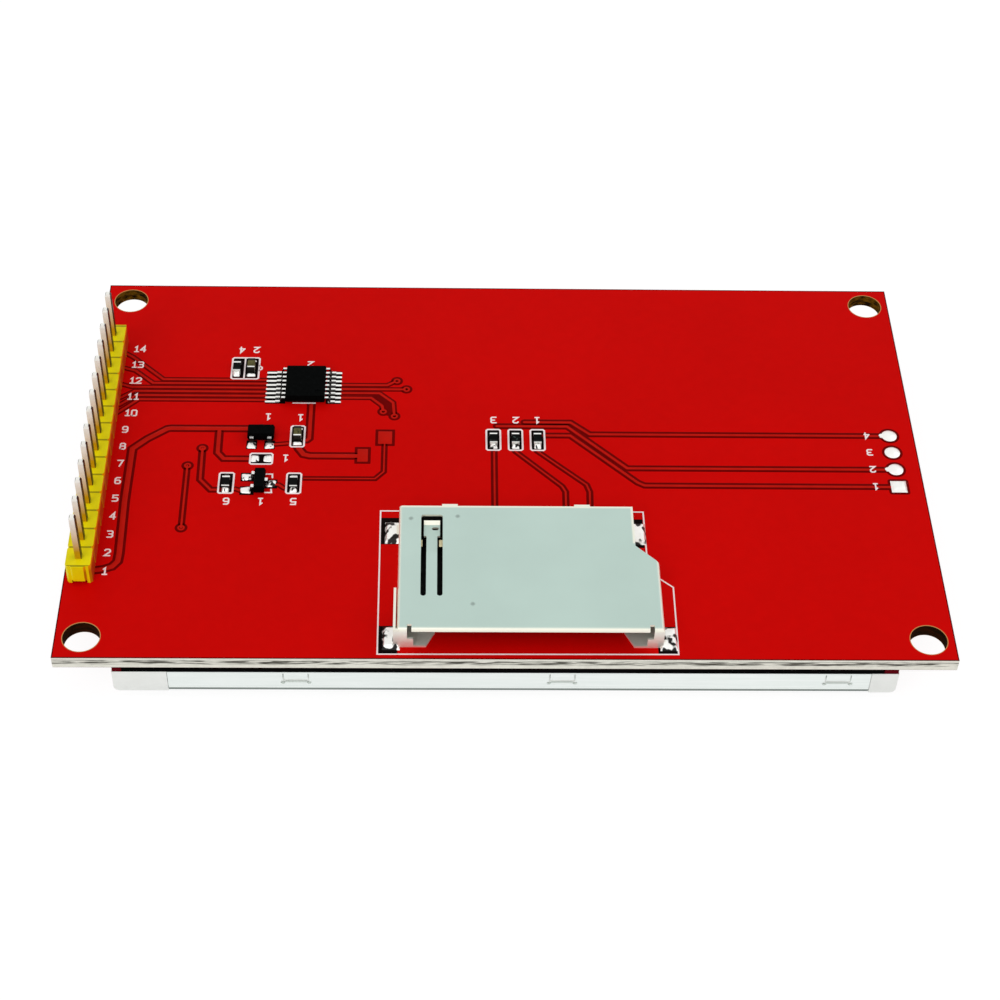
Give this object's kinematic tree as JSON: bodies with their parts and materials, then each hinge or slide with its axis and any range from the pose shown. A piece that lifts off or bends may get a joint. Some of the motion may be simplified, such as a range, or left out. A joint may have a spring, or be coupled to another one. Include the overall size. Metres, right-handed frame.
{
  "type": "tft display module",
  "caption": "Colour display on a red circuit board with a pin header, a card socket, a touch panel and small components, lying face down.",
  "frame": {"origin": "under the middle of the board, at the level of the touch film's outer face", "axes": "+X along the board away from the pin header, +Y along the board away from the card slot, +Z out of the component side"},
  "size_m": [0.0892, 0.055, 0.0146],
  "materials": {
    "red_solder_mask": "glossy red solder mask over glass epoxy, pale cut edges",
    "yellow_insulator": "satin yellow moulded plastic",
    "gilt_pins": "thin bright gilt plating",
    "gilt_contacts": "thin bright gilt plating",
    "bright_solder": "bright wetted solder",
    "nickel_shell": "satin nickel-plated sheet",
    "black_moulding": "dull black heat-proof plastic",
    "black_epoxy": "dull black moulded epoxy",
    "tinned_leads": "bright tin plating",
    "resistor_black": "black glazed coating",
    "capacitor_tan": "satin fired ceramic",
    "frame_steel": "satin tin-plated sheet",
    "white_moulding": "satin white moulded plastic",
    "white_film": "matt white film",
    "clear_acrylic": "polished clear plate",
    "clear_film": "finely ribbed clear film",
    "amber_flex": "glossy amber film",
    "lamp_yellow": "satin moulded lamp bodies",
    "black_tape": "matt black adhesive tape",
    "dark_polariser": "smooth dark film",
    "cell_glass": "polished thin glass",
    "silicon_die": "polished dark die",
    "touch_glass": "polished thin glass",
    "touch_film": "clear hard-coated film"
  },
  "bodies": {
    "root": {"circuit_board": "red_solder_mask", "header_insulator": "yellow_insulator", "header_pins": "gilt_pins", "header_solder": "bright_solder", "card_pad_solder": "bright_solder", "socket_shell": "nickel_shell", "socket_insulator": "black_moulding", "socket_contacts": "gilt_contacts", "socket_solder": "bright_solder", "touch_controller_body": "black_epoxy", "touch_controller_leads": "tinned_leads", "regulator_body": "black_epoxy", "regulator_leads": "tinned_leads", "transistor_body": "black_epoxy", "transistor_leads": "tinned_leads", "resistor_bodies": "resistor_black", "resistor_ends": "tinned_leads", "capacitor_bodies": "capacitor_tan", "capacitor_ends": "tinned_leads", "component_solder": "bright_solder", "jumper_solder": "bright_solder", "display_frame": "frame_steel", "backlight_moulding": "white_moulding", "reflector_sheet": "white_film", "light_guide": "clear_acrylic", "diffuser_film": "white_film", "lower_prism_film": "clear_film", "upper_prism_film": "clear_film", "lamp_flex": "amber_flex", "backlight_lamps": "lamp_yellow", "rim_tape": "black_tape", "rear_polariser": "dark_polariser", "tft_glass": "cell_glass", "filter_glass": "cell_glass", "front_polariser": "dark_polariser", "driver_chip": "silicon_die", "display_flex": "amber_flex", "flex_solder": "bright_solder", "touch_glass": "touch_glass", "touch_spacer": "black_tape", "touch_film": "touch_film", "touch_tape": "black_tape", "touch_flex": "amber_flex", "mounting_tape": "black_tape"}
  },
  "joints": []
}
